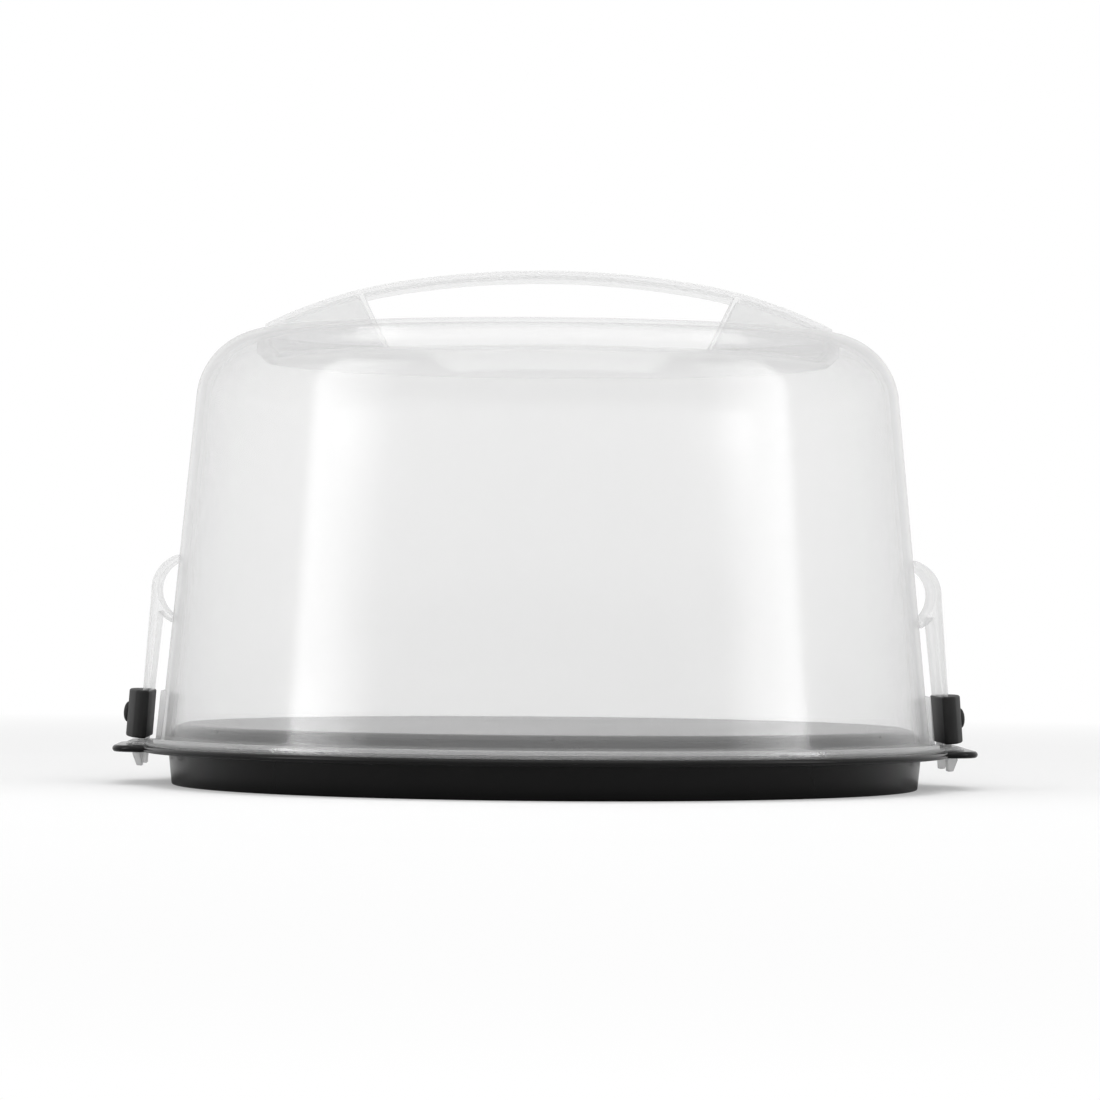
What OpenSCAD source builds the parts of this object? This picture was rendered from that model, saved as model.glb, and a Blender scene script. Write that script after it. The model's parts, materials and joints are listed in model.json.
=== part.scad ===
// Round cake carrier: a black tray with a raised plateau, a clear dome with a recessed crown,
// an arched handle, and two spring clips whose hooks reach through the ears of the tray.
// Millimetres, +Z up. The origin is on the table, on the axis of the tray.
// The clips and the handle lie along X; the front of the carrier faces -Y.

/* [Tray] */
// Length of the tray over both ears
tray_length = 356; // [350:1:376]
// How far the ears stand out past the round part of the rim
ear_out = 10; // [9.5:0.5:16]
// Height of the rim's upper face above the table
rim_z = 16.3; // [15:0.1:24]
// Height of the rim's rolled edge
rim_edge_h = 2.8; // [2.4:0.1:4]
// Wall of the tray
tray_t = 2; // [1.6:0.1:2.4]
// Corner radius of an ear
ear_corner_r = 12; // [9:1:16]
// Half the straight length of an ear's tip, between its corners
ear_half = 20; // [18:1:26]
// How far the upright foot ring stands inside the rim
foot_in = 13.5; // [13:0.5:18]
// How far the foot ring leans out up to the rim
foot_lean_out = 1.4; // [0.5:0.1:2]
// How far the plateau's upright edge stands inside the rim
plateau_in = 12; // [11.4:0.1:13]
// Rise of the plateau above the rim
plateau_h = 8.8; // [8:0.1:12]
// Rounding of the plateau's edge
plateau_edge_r = 8; // [5:0.1:8]
// Depth of the ribs under the plateau
rib_h = 6; // [4:0.5:10]
// Thickness of those ribs
rib_t = 1.6; // [1.2:0.1:2]
// Radius of the innermost ring rib
rib_ring_r = 45; // [30:1:60]
// Spacing of the ring ribs
rib_ring_step = 42; // [30:1:50]
// Number of spokes under the plateau
rib_count = 12; // [6:1:18]

/* [Dome] */
// How far the foot of the dome's wall stands inside the rim
dome_in = 8.4; // [7.8:0.1:9]
// Height of the dome from the rim to its crest
dome_h = 171.7; // [150:0.5:200]
// Lean of the wall, in degrees
dome_draft = 5.5; // [5:0.1:6]
// Wall of the dome
dome_t = 1.8; // [1.4:0.1:2.2]
// Radius of the shoulder
shoulder_r = 30; // [28:0.5:32]
// How far the recess in the crown stands inside the foot of the wall
recess_in = 40.6; // [39.6:0.5:42.6]
// Rounding of the recess's upper edge
recess_edge_r = 3; // [2.5:0.1:4]
// Bevel at the foot of the recess
recess_bevel = 3; // [2:0.5:5]
// Depth of the recess at its edge, below the crest
recess_d = 11.5; // [9:0.5:16]
// Rise of the recess floor towards its middle
recess_rise = 5.5; // [3:0.5:7]
// How far the edge of the dome's foot flange stands inside the rim
flange_in = 2; // [1.5:0.5:3]
// Thickness of that flange
flange_t = 1.4; // [1.2:0.1:1.8]
// Height of the bead round the flange
bead_h = 3.2; // [2.4:0.1:4]
// Thickness of that bead
bead_t = 1.5; // [1:0.1:2]
// Half the width of the gap in the bead at each clip
bead_gap = 45; // [40:1:50]
// How far the flange's ears keep inside the ears of the tray
flange_ear_in = 5.5; // [4:0.5:7]

/* [Handle] */
// Height of the handle's top above the dome's crest
handle_rise = 25; // [20:0.5:32]
// How far each end of the handle stands inside the recess
handle_in = 2; // [2:0.5:7]
// Width of the handle
handle_w = 32; // [26:1:34]
// Wall of the handle
handle_t = 1.8; // [1.4:0.1:2.4]
// Height of the lips along the grip
handle_lip_h = 3.4; // [2.8:0.1:5]
// Radius of the arch over the grip
arch_r = 380; // [340:5:460]
// Radius of the arch over each foot
arch_end_r = 190; // [170:5:240]
// Distance from the middle at which the arch starts to fall away
arch_end_x = 62; // [55:1:66]
// Half the clear length of the grip at the floor of the recess
window_foot = 64; // [58:1:68]
// Lean of the foot's inner wall, in degrees
window_lean = 26; // [20:1:30]

/* [Clips] */
// Width of a clip's strap
strap_w = 42; // [34:1:44]
// Thickness of the strap
strap_t = 2; // [1.8:0.1:2.2]
// Outer radius of the spring loop
loop_r = 15; // [14.5:0.1:15.5]
// Wall of the loop that stands on the dome
loop_t = 1.3; // [1:0.1:1.8]
// Thickness of the strap where it wraps the loop
wrap_t = 1; // [0.8:0.1:1.2]
// How far the strap wraps up round the loop, in degrees
wrap_deg = 40; // [30:1:45]
// Height of the loop's centre above the table
loop_z = 80.1; // [76:0.5:90]
// How far the loop's centre lies inside the dome's wall
loop_inset = 5.9; // [5.5:0.1:6.3]
// Lean of the strap, in degrees
arm_lean = 4.2; // [4:0.1:4.6]
// Swing of a clip from its drawn place out to its latched place, in degrees
latch_deg = 1.8; // [1.2:0.1:1.8]
// Width of one hook
hook_w = 10; // [8:0.5:11]
// How far a hook's barb stands out past the strap
hook_out = 2.1; // [2:0.1:2.6]
// Height of the barb's upright lip
hook_lip_h = 0.8; // [0.5:0.1:1.5]
// How far the hooks reach below the rim's upper face
hook_reach = 8.4; // [7:0.1:11]
// Thickness of the finger grip
grip_t = 9.6; // [8:0.2:11]
// Width of the finger grip
grip_w = 50; // [48:1:54]
// Height of the finger grip
grip_h = 19.6; // [16:0.2:24]
// How far the grip's outer face curves back at its sides
grip_bow = 4.6; // [3:0.2:5]
// Wall of the grip behind the strap
grip_wall = 0.9; // [0.7:0.1:1.2]
// Rounding of the grip's upper outer edge
grip_edge_r = 2; // [1:0.1:3]
// Bevel on the grip's lower inner edge
grip_bevel = 0.7; // [0.4:0.1:0.9]
// Diameter of the thumb button on the grip
button_d = 8.4; // [6:0.2:12]
// How far the thumb button stands out
button_out = 1.8; // [1:0.1:2.4]
// Thickness of the stop pad on the wall behind the grip
pad_t = 0.8; // [0.4:0.1:1]
// Width of the stop pad
pad_w = 44; // [36:1:50]

/* [Clearances] */
// Running gap between the strap and the loop it wraps
loop_gap = 0.1; // [0.05:0.05:0.2]
// Gap between a drawn hook and the catch edge of its slot
catch_gap = 0.3; // [0.2:0.05:0.5]
// Gap between a latched hook and the underside of the rim
catch_clear = 0.2; // [0.15:0.05:0.4]
// Gap round a hook in its slot
slot_gap = 0.5; // [0.4:0.1:0.8]
// Gap round the strap inside the finger grip
sleeve_gap = 0.1; // [0.05:0.05:0.2]
// Gap between the grip and the dome's flange
grip_lift = 1.2; // [1.1:0.1:2]
// Gap left between the pressed grip and its stop pad
pad_gap = 0.3; // [0.2:0.05:0.5]

/* [Hidden] */
$fn = 96;
fine = 720;
past = 1;

ear_tip = tray_length / 2;
rim_r = ear_tip - ear_out;
foot_r = rim_r - foot_in;
hollow_r = foot_r - tray_t;
plateau_r = rim_r - plateau_in;
plateau_z = rim_z + plateau_h;
roll_r = rim_edge_h / 2;
ear_corner_x = ear_tip - ear_corner_r;
ear_side = ear_half + ear_corner_r;

dome_r = rim_r - dome_in;
flange_r = rim_r - flange_in;
recess_r = dome_r - recess_in;
crest_z = rim_z + dome_h;
flange_top = rim_z + flange_t;
shoulder_z = crest_z - shoulder_r;
shoulder_x = wall_x(shoulder_z) - shoulder_r / cos(dome_draft);
recess_z = crest_z - recess_d;
edge_x = recess_r + recess_edge_r;
edge_z = shoulder_z + sqrt(pow(shoulder_r - recess_edge_r, 2) - pow(edge_x - shoulder_x, 2));

handle_half = recess_r - handle_in;
handle_top = crest_z + handle_rise;
arch_z = handle_top - arch_r;
arch_end_deg = asin(arch_end_x / arch_r);

loop_x = wall_x(loop_z) - loop_inset;
strap_in = loop_r - strap_t;
grip_in = strap_in - sleeve_gap - grip_wall;
grip_low_z = flange_top + grip_lift;
grip_low = along_arm(grip_in, grip_low_z);
press_to = wall_x(grip_low_z) + pad_t + pad_gap - loop_x - grip_in;
press_deg = arm_lean - asin(press_to / (loop_z - grip_low_z));
latch_rise = latch_swing() + catch_clear;
catch_z = rim_z - tray_t - latch_rise;
hook_tip = along_arm(loop_r, rim_z - hook_reach);
hook_catch = along_arm(loop_r + hook_out, catch_z);
slot_in = face_x(strap_in, flange_top, arm_lean - press_deg) - slot_gap;
slot_out = face_x(loop_r + hook_out, catch_z, arm_lean) + catch_gap;
pad_top = grip_low_z + grip_h;

// Radius of the dome's wall at a height
function wall_x(z) = dome_r - tan(dome_draft) * (z - rim_z);

// Height of the recess floor at a radius
function floor_z(r) = recess_z + recess_rise * (1 - r / recess_r);

// X of a clip's face that lies u out from the loop's centre, at a height and a lean
function face_x(u, z, lean) = loop_x + (u + (loop_z - z) * sin(lean)) / cos(lean);

// Place along the strap at which its face u out from the loop's centre has a height
function along_arm(u, z) = (z - loop_z - u * sin(arm_lean)) / cos(arm_lean);

// Rise of a barb's outer corner as the clip swings out to its latched place
function latch_swing() =
    (face_x(loop_r + hook_out, rim_z - tray_t, arm_lean) - loop_x) * sin(latch_deg)
    + (loop_z - rim_z + tray_t) * (1 - cos(latch_deg));

module both_sides() {
    for (side = [0, 1]) {
        mirror([side, 0, 0]) children();
    }
}

module on_side(left) {
    mirror([left ? 1 : 0, 0, 0]) children();
}

// Everything in a clip is drawn in the frame of its strap: X out, Z up along the strap
module clip_frame(left) {
    on_side(left) translate([loop_x, 0, loop_z]) rotate([0, -arm_lean, 0]) children();
}

// Half section of a round cap with a rounded edge
module cap_section(r, low, high, corner) {
    translate([0, low]) square([r, high - corner - low]);
    translate([0, low]) square([r - corner, high - low]);
    translate([r - corner, high - corner]) circle(corner);
}

// The two slots of one ear, drawn as tall blocks for cutting
module slot_cut() {
    for (side = [-1, 1]) {
        translate([slot_in, side * (strap_w - hook_w) / 2 - hook_w / 2 - slot_gap, 0])
            cube([slot_out - slot_in, hook_w + 2 * slot_gap, flange_top + past]);
    }
}

// Plan of an ear, from inside the rim out to its tip, kept in by an inset
module ear_plan(inset) {
    corner = ear_corner_r - inset;
    start = flange_r - ear_corner_r;
    translate([start, -ear_side + inset]) square([ear_corner_x - start, 2 * (ear_side - inset)]);
    translate([ear_corner_x, -ear_half]) square([corner, 2 * ear_half]);
    for (side = [-1, 1]) {
        translate([ear_corner_x, side * ear_half]) circle(corner);
    }
}

module tray_section() {
    difference() {
        union() {
            cap_section(plateau_r, 0, plateau_z, plateau_edge_r);
            translate([0, rim_z - tray_t]) square([rim_r - roll_r, tray_t]);
        }
        polygon([
            [foot_r, -past], [foot_r, 0], [foot_r + foot_lean_out, rim_z - tray_t],
            [2 * rim_r, rim_z - tray_t], [2 * rim_r, -past]
        ]);
        cap_section(hollow_r, -past, plateau_z - tray_t, plateau_edge_r - tray_t);
    }
}

module rim_roll() {
    difference() {
        rotate_extrude() translate([rim_r - roll_r, rim_z - roll_r]) circle(roll_r);
        both_sides() translate([0, -ear_side + roll_r, 0])
            cube([ear_tip, 2 * (ear_side - roll_r), rim_z - tray_t]);
    }
}

module ear_roll() {
    start = sqrt(pow(rim_r - roll_r, 2) - pow(ear_side - roll_r, 2));
    for (side = [0, 1]) {
        mirror([0, side, 0]) {
            translate([start, ear_side - roll_r, rim_z - roll_r]) rotate([0, 90, 0])
                cylinder(r = roll_r, h = ear_corner_x - start);
            translate([ear_corner_x, ear_half, rim_z - roll_r])
                rotate_extrude(angle = 90) translate([ear_corner_r - roll_r, 0]) circle(roll_r);
        }
    }
    translate([ear_tip - roll_r, -ear_half, rim_z - roll_r]) rotate([-90, 0, 0])
        cylinder(r = roll_r, h = 2 * ear_half);
}

module plateau_ribs() {
    base = plateau_z - tray_t - rib_h;
    translate([0, 0, base]) {
        for (r = [rib_ring_r : rib_ring_step : hollow_r - rib_ring_step / 2]) {
            difference() {
                cylinder(r = r + rib_t / 2, h = rib_h + tray_t / 2);
                translate([0, 0, -past]) cylinder(r = r - rib_t / 2, h = rib_h + tray_t + past);
            }
        }
        for (i = [0 : rib_count - 1]) {
            rotate(i * 360 / rib_count) translate([rib_ring_r, -rib_t / 2, 0])
                cube([hollow_r + tray_t / 2 - rib_ring_r, rib_t, rib_h + tray_t / 4]);
        }
    }
}

module tray() {
    color([0.2, 0.2, 0.21]) difference() {
        union() {
            rotate_extrude() tray_section();
            plateau_ribs();
            rim_roll();
            both_sides() {
                translate([0, 0, rim_z - tray_t]) linear_extrude(tray_t) ear_plan(roll_r);
                ear_roll();
            }
        }
        both_sides() slot_cut();
    }
}

// Half section of the recess in the crown, grown by an inset
module recess_section(inset) {
    reach = shoulder_r / (shoulder_r - recess_edge_r);
    tip = [shoulder_x + (edge_x - shoulder_x) * reach, shoulder_z + (edge_z - shoulder_z) * reach];
    above = crest_z + past;
    turn = inset * tan(45 / 2);
    polygon([
        [-past, floor_z(0) - inset], [0, floor_z(0) - inset],
        [recess_r - recess_bevel + turn, floor_z(recess_r - recess_bevel) - inset],
        [recess_r + inset, floor_z(recess_r) + recess_bevel - turn],
        [recess_r + inset, above], [-past, above]
    ]);
    difference() {
        polygon([[recess_r, edge_z], [edge_x, edge_z], tip, [tip[0], above], [recess_r, above]]);
        translate([edge_x, edge_z]) circle(recess_edge_r - inset);
    }
}

// Half section of the dome as a solid, with its outline kept in by an inset
module dome_section(inset) {
    r = shoulder_r - inset;
    low = inset > 0 ? rim_z - past : rim_z;
    difference() {
        union() {
            polygon([
                [0, low], [wall_x(low) - inset / cos(dome_draft), low],
                [shoulder_x + r * cos(dome_draft), shoulder_z + r * sin(dome_draft)],
                [shoulder_x, shoulder_z], [shoulder_x, crest_z - inset], [0, crest_z - inset]
            ]);
            translate([shoulder_x, shoulder_z]) circle(r);
        }
        recess_section(inset);
    }
}

module foot_flange() {
    difference() {
        union() {
            translate([0, 0, rim_z]) cylinder(r = flange_r, h = flange_t);
            both_sides() translate([0, 0, rim_z]) linear_extrude(flange_t) ear_plan(flange_ear_in);
        }
        both_sides() slot_cut();
    }
    start = asin(bead_gap / flange_r);
    for (turn = [0, 180]) {
        rotate(start + turn) rotate_extrude(angle = 180 - 2 * start) {
            translate([flange_r - bead_t, rim_z]) square([bead_t, bead_h - bead_t / 2]);
            translate([flange_r - bead_t / 2, rim_z + bead_h - bead_t / 2]) circle(bead_t / 2);
        }
    }
}

module stop_pad() {
    upright(pad_w) polygon([
        [loop_x, rim_z], [wall_x(rim_z) + pad_t, rim_z],
        [wall_x(pad_top) + pad_t, pad_top], [loop_x, pad_top]
    ]);
}

module dome() {
    color([0.88, 0.9, 0.92, 0.4]) difference() {
        union() {
            rotate_extrude() dome_section(0);
            foot_flange();
            both_sides() stop_pad();
        }
        rotate_extrude() dome_section(dome_t);
    }
}

// An outline drawn in X and Z, given a width across Y
module upright(width) {
    rotate([90, 0, 0]) linear_extrude(width, center = true) children();
}

// Outline of the handle from the front, without its window, kept in by an inset
module handle_outline(inset) {
    half = handle_half - inset;
    low = recess_z - past;
    fall = arch_r - arch_end_r;
    intersection() {
        translate([0, arch_z]) circle(arch_r - inset, $fn = fine);
        translate([-arch_end_x, low]) square([2 * arch_end_x, handle_top - low]);
    }
    both_sides() intersection() {
        translate([fall * sin(arch_end_deg), arch_z + fall * cos(arch_end_deg)])
            circle(arch_end_r - inset, $fn = fine);
        translate([arch_end_x - past, low]) square([half - arch_end_x + past, handle_top - low]);
    }
}

// The window under the grip, up to the edges of the lips
module window_outline() {
    low = recess_z - past;
    spread = tan(window_lean);
    intersection() {
        polygon([
            [-window_foot, low], [window_foot, low],
            [window_foot + (handle_top - low) * spread, handle_top],
            [-window_foot - (handle_top - low) * spread, handle_top]
        ]);
        translate([0, -handle_lip_h]) handle_outline(0);
    }
}

// The leaning inner wall of each foot
module foot_walls() {
    low = recess_z - past;
    thick = handle_t / cos(window_lean);
    lean = (handle_top - low) * tan(window_lean);
    both_sides() {
        polygon([
            [window_foot, low], [window_foot + thick, low],
            [window_foot + thick + lean, handle_top], [window_foot + lean, handle_top]
        ]);
    }
}

module handle() {
    color([0.9, 0.92, 0.94, 0.6]) difference() {
        upright(handle_w) difference() {
            handle_outline(0);
            window_outline();
        }
        upright(handle_w - 2 * handle_t) difference() {
            handle_outline(handle_t);
            foot_walls();
        }
        rotate_extrude() dome_section(0);
    }
}

module spring_loop(left) {
    color([0.88, 0.9, 0.92, 0.5]) on_side(left) difference() {
        translate([loop_x, 0, loop_z]) rotate([90, 0, 0]) difference() {
            cylinder(r = loop_r - wrap_t - loop_gap, h = strap_w, center = true);
            cylinder(r = loop_r - wrap_t - loop_gap - loop_t, h = strap_w + past, center = true);
        }
        rotate_extrude() dome_section(0);
    }
}

module hook() {
    rotate([90, 0, 0]) linear_extrude(hook_w, center = true) polygon([
        [strap_in, grip_low], [strap_in, hook_tip], [loop_r, hook_tip],
        [loop_r + hook_out, hook_catch - hook_lip_h], [loop_r + hook_out, hook_catch],
        [loop_r, hook_catch], [loop_r, grip_low]
    ]);
}

module clip_arm(left) {
    color([0.88, 0.9, 0.92, 0.6]) clip_frame(left) difference() {
        union() {
            translate([strap_in, -strap_w / 2, grip_low]) cube([strap_t, strap_w, -grip_low]);
            rotate([90, 0, 0]) translate([0, 0, -strap_w / 2]) rotate_extrude(angle = wrap_deg)
                translate([loop_r - wrap_t, 0]) square([wrap_t, strap_w]);
            for (side = [-1, 1]) {
                translate([0, side * (strap_w - hook_w) / 2, 0]) hook();
            }
        }
        rotate([90, 0, 0]) cylinder(r = loop_r - wrap_t, h = strap_w + past, center = true);
    }
}

// Plan of the finger grip: flat behind, bowed in front
module grip_plan() {
    bow_r = (pow(grip_w / 2, 2) + pow(grip_bow, 2)) / (2 * grip_bow);
    intersection() {
        translate([grip_in, -grip_w / 2]) square([grip_t, grip_w]);
        translate([grip_in + grip_t - bow_r, 0]) circle(bow_r, $fn = fine);
    }
}

// Side outline of the finger grip
module grip_side() {
    out = grip_in + grip_t;
    high = grip_low + grip_h;
    polygon([
        [grip_in, high], [grip_in, grip_low + grip_bevel], [grip_in + grip_bevel, grip_low],
        [out, grip_low], [out, high - grip_edge_r], [out - grip_edge_r, high - grip_edge_r],
        [out - grip_edge_r, high]
    ]);
    translate([out - grip_edge_r, high - grip_edge_r]) circle(grip_edge_r);
}

module thumb_button() {
    r = (pow(button_d / 2, 2) + pow(button_out, 2)) / (2 * button_out);
    out = grip_in + grip_t;
    intersection() {
        translate([out + button_out - r, 0, grip_low + grip_h / 2]) sphere(r);
        translate([loop_r + sleeve_gap, -r, grip_low]) cube([grip_t + button_out, 2 * r, grip_h]);
    }
}

module clip_grip(left) {
    gap = sleeve_gap;
    color([0.12, 0.12, 0.13]) clip_frame(left) difference() {
        union() {
            intersection() {
                translate([0, 0, grip_low]) linear_extrude(grip_h) grip_plan();
                upright(grip_w) grip_side();
            }
            thumb_button();
        }
        translate([strap_in - gap, -strap_w / 2 - gap, grip_low - past])
            cube([strap_t + 2 * gap, strap_w + 2 * gap, grip_h + 2 * past]);
    }
}

tray();
dome();
handle();
spring_loop(true);  // spring_loop_left
spring_loop(false);  // spring_loop_right
clip_arm(true);  // clip_arm_left
clip_arm(false);  // clip_arm_right
clip_grip(true);  // clip_grip_left
clip_grip(false);  // clip_grip_right
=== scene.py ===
import json
import math

import bmesh
import bpy
from mathutils import Matrix, Vector


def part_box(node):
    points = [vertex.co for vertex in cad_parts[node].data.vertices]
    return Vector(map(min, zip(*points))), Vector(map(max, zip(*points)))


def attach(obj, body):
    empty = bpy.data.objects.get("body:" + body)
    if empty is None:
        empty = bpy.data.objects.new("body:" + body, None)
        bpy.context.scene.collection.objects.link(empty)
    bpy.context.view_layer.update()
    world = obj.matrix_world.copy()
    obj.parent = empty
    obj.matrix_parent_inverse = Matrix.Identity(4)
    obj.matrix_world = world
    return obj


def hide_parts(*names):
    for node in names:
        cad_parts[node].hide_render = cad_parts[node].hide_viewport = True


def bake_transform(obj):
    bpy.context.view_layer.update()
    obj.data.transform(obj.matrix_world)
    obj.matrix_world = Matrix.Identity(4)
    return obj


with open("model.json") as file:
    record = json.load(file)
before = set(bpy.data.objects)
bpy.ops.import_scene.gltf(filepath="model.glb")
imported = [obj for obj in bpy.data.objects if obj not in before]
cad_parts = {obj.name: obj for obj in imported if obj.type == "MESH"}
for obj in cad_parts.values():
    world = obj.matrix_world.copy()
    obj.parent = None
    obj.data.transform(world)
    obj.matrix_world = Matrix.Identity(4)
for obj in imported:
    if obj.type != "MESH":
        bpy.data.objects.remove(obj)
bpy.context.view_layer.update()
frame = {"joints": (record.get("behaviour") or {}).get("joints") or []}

bl_info = {
    "name": "Round Cake Carrier",
    "version": (1, 0, 0),
    "blender": (4, 5, 0),
    "location": "View3D > Sidebar > Cake Carrier",
    "description": "Builds a black cake tray under a clear lift-off dome with sprung side clips",
    "category": "Object",
}

SIDES = {"left": -1, "right": 1}
WHITE = (1, 1, 1, 1)

# Small shapes, in metres
TINY = 1e-6  # nearer points are one
PLATEAU_RINGS = (0, 0.05, 0.10)  # rings of points across the flat plateau
PLATEAU_FILLET = 0.001  # hollow round the foot of the plateau
ROLL_SPAN = 1.9  # radii of the rolled edge from the rim's tip to where it meets the underside
FOOT_EDGE = 0.0006  # rounding of the foot ring
FLANGE_STEP = 0.0003  # foot of the dome's wall on its flange
PAD_ROOT = 0.0012  # how far a stop pad reaches into the wall past its middle
SEAT_GAP = 0.00005  # between the handle and the recess floor
DIG = 0.01  # how far the handle's cutters reach below the recess floor
STRAP_EDGE = 0.00035  # softening of a strap
LOOP_ROOT = 0.0004  # how far a spring loop's ends reach into the dome's wall
HOOK_RISE = 0.002  # how far above the grip's foot a strap splits into its hooks
HOOK_LAP = 0.001  # overlap of a hook and its strap
GRIP_CORNER = 0.0030  # rounding of a grip's front corners
GRIP_BACK = GRIP_CORNER * 0.65  # and of its back corners
SLEEVE_GAP = 0.0001  # round a strap inside its grip
SLEEVE_PAST = 0.005  # how far the sleeve's cutter reaches past the grip
BUTTON_ROOT = 0.003  # how far a thumb button reaches into its grip

# Finish of the frosted plastic
CLOUDY = 0.12  # how far its body changes from place to place
FOOT_RISE = (0.0034, 0.0044)  # heights above the rim between which the dense foot turns clear
FOOT_DENSE = 3.0  # how many times denser the foot is
BODY_POWER = 4.0  # how steeply the body grows as a face turns edge on
SHINE_POWER = 5.0  # and the gloss
SHINE = (0.04, 0.3)  # share of gloss, seen straight and edge on
MILK = 0.62  # share of the milky light that comes through from behind
RIPPLE = 14  # how much finer the ripple of a moulded face is than its clouds
RIPPLE_HEIGHT = 0.0004
MOTTLE = (0.8, 1.3)  # darkest and lightest share of a black plastic's tone

# Light of the room
TABLE_GLOW = 0.3  # what the table adds to its own tone for the camera
TABLE_FADE = (0.45, 1.2)  # distances at which the table turns white
ROOM_LIGHT = (0.82, 0.32)  # in front and behind
ROOM_TURN = (-0.4, 0.4)  # how far in front and behind that changes
ROOM_GLOW = 1.0  # share of white that glossy faces see in front
GLOW_TURN = (-0.2, 0.3)  # and how far in front and behind that changes
LAMPS_AIM = Vector((0, 0, 0.1))  # the place that every lamp faces
JOINTS = {joint["name"]: joint for joint in frame["joints"]}
TRAY_LOW, TRAY_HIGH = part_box("tray")
DOME_LOW, DOME_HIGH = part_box("dome")
HANDLE_LOW, HANDLE_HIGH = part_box("handle")
LOOP_CENTRE = Vector(JOINTS["clip_right_press"]["pos_m"])


def length(label, note, default):
    """A distance that a user may change."""
    return bpy.props.FloatProperty(
        name=label, description=note, default=default, min=0.0, unit="LENGTH", subtype="DISTANCE"
    )


def angle(label, note, degrees):
    """An angle that a user may change, written in degrees."""
    default = math.radians(degrees)
    return bpy.props.FloatProperty(
        name=label, description=note, default=default, unit="ROTATION", subtype="ANGLE"
    )


def colour(label, note, default):
    """A colour that a user may change."""
    return bpy.props.FloatVectorProperty(
        name=label, description=note, default=default, min=0.0, max=1.0, subtype="COLOR", size=3
    )


def factor(label, note, default):
    """A share between nought and one that a user may change."""
    return bpy.props.FloatProperty(
        name=label, description=note, default=default, min=0.0, max=1.0, subtype="FACTOR"
    )


class CakeTraySizes(bpy.types.PropertyGroup):
    """Sizes of the black tray"""

    rim_radius: length("Rim radius", "Radius of the round part of the rim", 0.168)
    rim_height: length("Rim height", "Height of the rim's upper face", DOME_LOW.z)
    rim_edge: length("Rim edge", "Height of the rim's rolled edge", 0.0028)
    wall: length("Wall", "Wall of the tray", 0.002)
    ear_tip: length("Ear tip", "Distance from the axis to the tip of an ear", TRAY_HIGH.x)
    ear_corner: length("Ear corner", "Corner radius of an ear", 0.012)
    ear_half: length("Ear half", "Half the straight length of an ear's tip", 0.020)
    foot_radius: length("Foot radius", "Radius of the upright foot ring", 0.1545)
    foot_lean: length("Foot lean", "How far the foot ring leans out up to the rim", 0.0014)
    plateau_radius: length("Plateau radius", "Radius of the plateau's upright edge", 0.156)
    plateau_height: length("Plateau height", "Height of the plateau's top", TRAY_HIGH.z)
    plateau_edge: length("Plateau edge", "Rounding of the plateau's edge", 0.008)
    rib_height: length("Rib height", "Depth of the ribs under the plateau", 0.006)
    rib_thickness: length("Rib thickness", "Thickness of the ribs", 0.0016)
    rib_ring: length("Rib ring", "Radius of the innermost ring rib", 0.045)
    rib_step: length("Rib step", "Spacing of the ring ribs", 0.042)
    rib_count: bpy.props.IntProperty(
        name="Spokes", description="Number of spokes under the plateau", default=12, min=3
    )
    segments: bpy.props.IntProperty(
        name="Segments", description="Faces round the tray and the dome", default=288, min=24
    )


class CakeDomeSizes(bpy.types.PropertyGroup):
    """Sizes of the clear dome"""

    foot_radius: length("Foot radius", "Radius of the wall at its foot", 0.1596)
    crest_height: length("Crest height", "Height of the shoulder's crest", 0.188)
    draft: angle("Draft", "Lean of the wall", 5.5)
    wall: length("Wall", "Wall of the dome", 0.0018)
    shoulder: length("Shoulder", "Radius of the shoulder", 0.030)
    recess_radius: length("Recess radius", "Radius of the recess in the crown", 0.119)
    recess_edge: length("Recess edge", "Rounding of the recess's upper edge", 0.003)
    recess_bevel: length("Recess bevel", "Bevel at the foot of the recess", 0.003)
    recess_depth: length("Recess depth", "Depth of the recess at its edge", 0.0115)
    recess_rise: length("Recess rise", "Rise of the recess floor towards its middle", 0.0055)
    flange_radius: length("Flange radius", "Radius of the foot flange", 0.166)
    flange: length("Flange", "Thickness of the foot flange", 0.0014)
    ear_inset: length("Ear inset", "How far the flange's ears keep inside the tray's", 0.0055)
    bead_height: length("Bead height", "Height of the bead round the flange", 0.0032)
    bead: length("Bead", "Thickness of the bead", 0.0015)
    bead_gap: length("Bead gap", "Half the width of the gap in the bead at a clip", 0.045)
    pad: length("Stop pad", "Thickness of the stop pad behind a grip", 0.0008)
    pad_top: length("Stop pad top", "Height of the stop pad's upper edge", 0.0385)
    pad_half: length("Stop pad half", "Half the width of the stop pad", 0.022)


class CakeHandleSizes(bpy.types.PropertyGroup):
    """Sizes of the arched handle"""

    top: length("Top", "Height of the handle's top", HANDLE_HIGH.z)
    half: length("Half length", "Half the length of the handle", HANDLE_HIGH.x)
    width: length("Width", "Width of the handle", HANDLE_HIGH.y - HANDLE_LOW.y)
    wall: length("Wall", "Wall of the handle", 0.0018)
    lip: length("Lip", "Height of the lips along the grip", 0.0034)
    arch: length("Arch radius", "Radius of the arch over the grip", 0.380)
    arch_end: length("End radius", "Radius of the arch over each foot", 0.190)
    arch_turn: length("Turn", "Distance from the middle at which the arch falls away", 0.062)
    window_foot: length("Window foot", "Half the clear length at the recess floor", 0.064)
    window_lean: angle("Window lean", "Lean of a foot's inner wall", 26)
    edge: length("Edge", "Softening of the handle's edges", 0.0004)


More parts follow.
